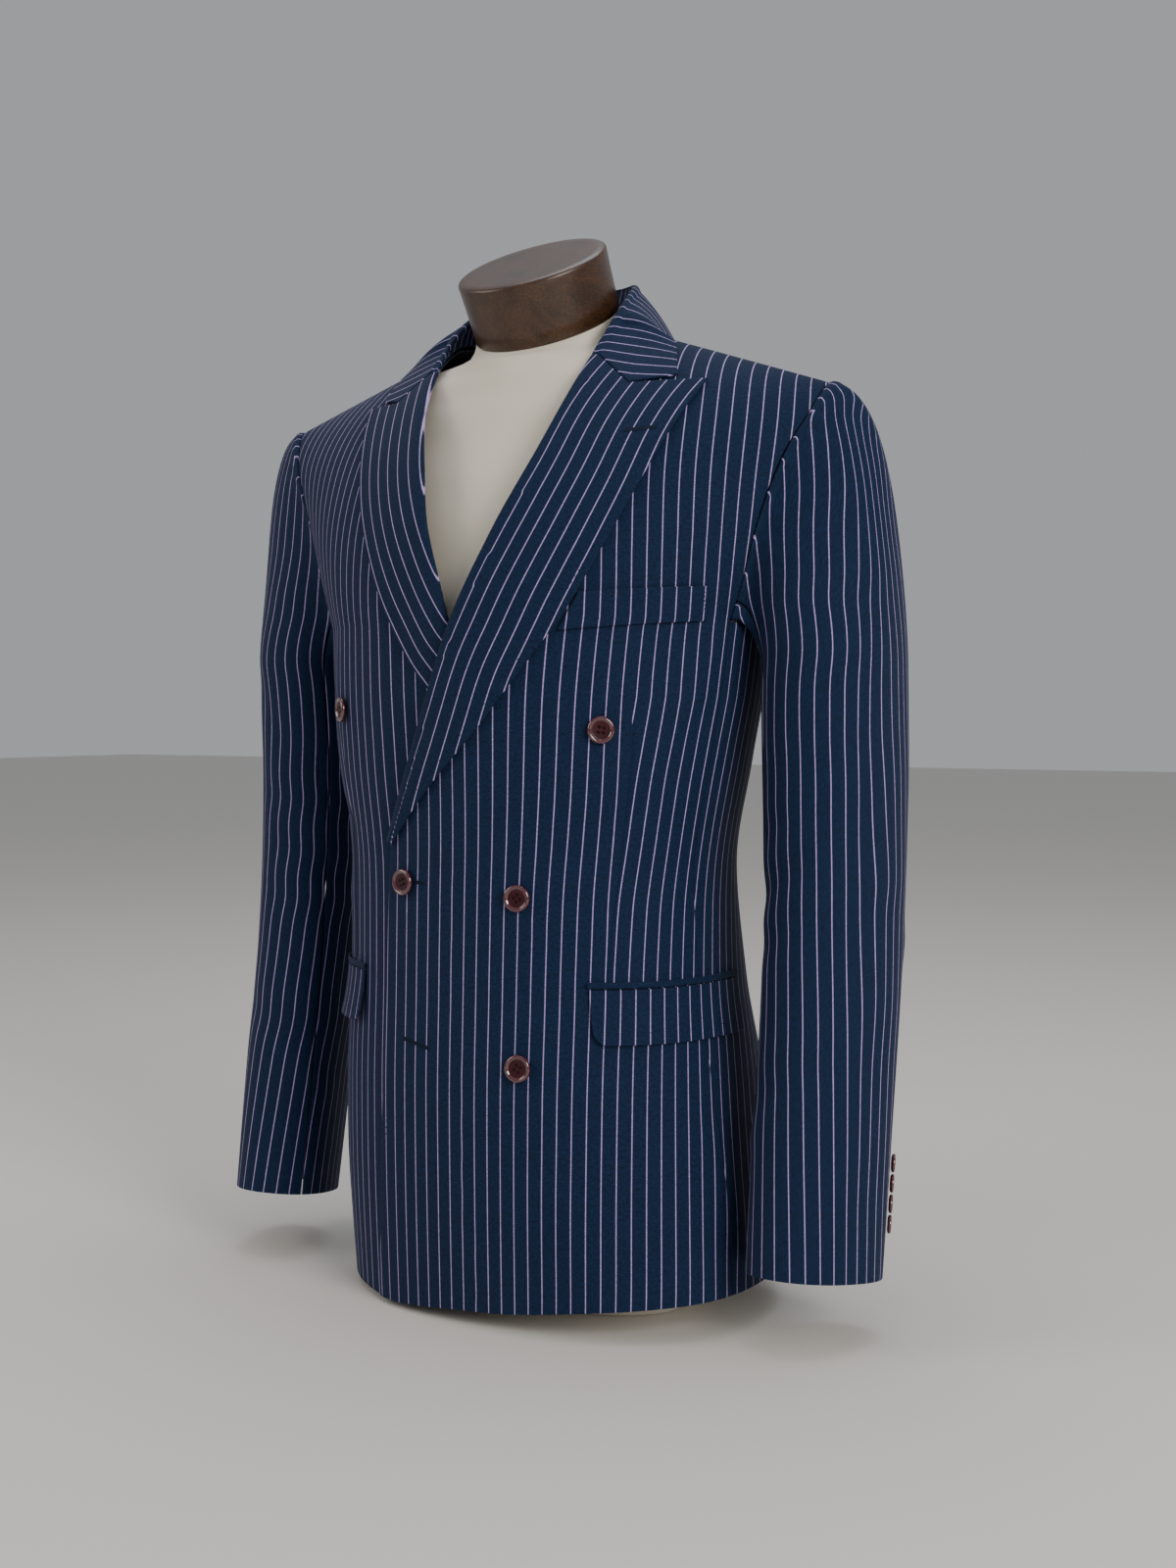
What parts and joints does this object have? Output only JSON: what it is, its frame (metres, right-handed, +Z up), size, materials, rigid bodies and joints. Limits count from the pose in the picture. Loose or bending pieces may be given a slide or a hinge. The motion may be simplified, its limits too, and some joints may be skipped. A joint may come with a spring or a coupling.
{
  "type": "double-breasted suit jacket on a dress form",
  "caption": "Navy pinstripe double-breasted suit jacket with peak lapels, buttoned on a limbless dress form with a wooden neck block.",
  "frame": {"origin": "on the flat underside of the dress form, below the middle of the neck", "axes": "+Z up, -Y is the front of the jacket, +X is the wearer's left"},
  "size_m": [0.5543, 0.2755, 0.8046],
  "materials": {
    "suiting": "matte worsted wool, navy with pinstripes",
    "buttons": "polished, dark burgundy",
    "form": "matte off-white jersey",
    "neck_wood": "satin, dark stained"
  },
  "bodies": {
    "root": {"back_left": "suiting", "back_right": "suiting", "button_1": "buttons", "button_2": "buttons", "button_3": "buttons", "button_4": "buttons", "button_5": "buttons", "collar": "suiting", "cuff_button_left_1": "buttons", "cuff_button_left_2": "buttons", "cuff_button_left_3": "buttons", "cuff_button_left_4": "buttons", "cuff_button_right_1": "buttons", "cuff_button_right_2": "buttons", "cuff_button_right_3": "buttons", "cuff_button_right_4": "buttons", "flap_left": "suiting", "flap_right": "suiting", "form_torso": "form", "front_left": "suiting", "front_right": "suiting", "jet_left": "suiting", "jet_right": "suiting", "lapel_left": "suiting", "lapel_right": "suiting", "neck_block": "neck_wood", "side_left": "suiting", "side_right": "suiting", "sleeve_top_left": "suiting", "sleeve_top_right": "suiting", "sleeve_under_left": "suiting", "sleeve_under_right": "suiting", "welt_pocket": "suiting"}
  },
  "joints": []
}
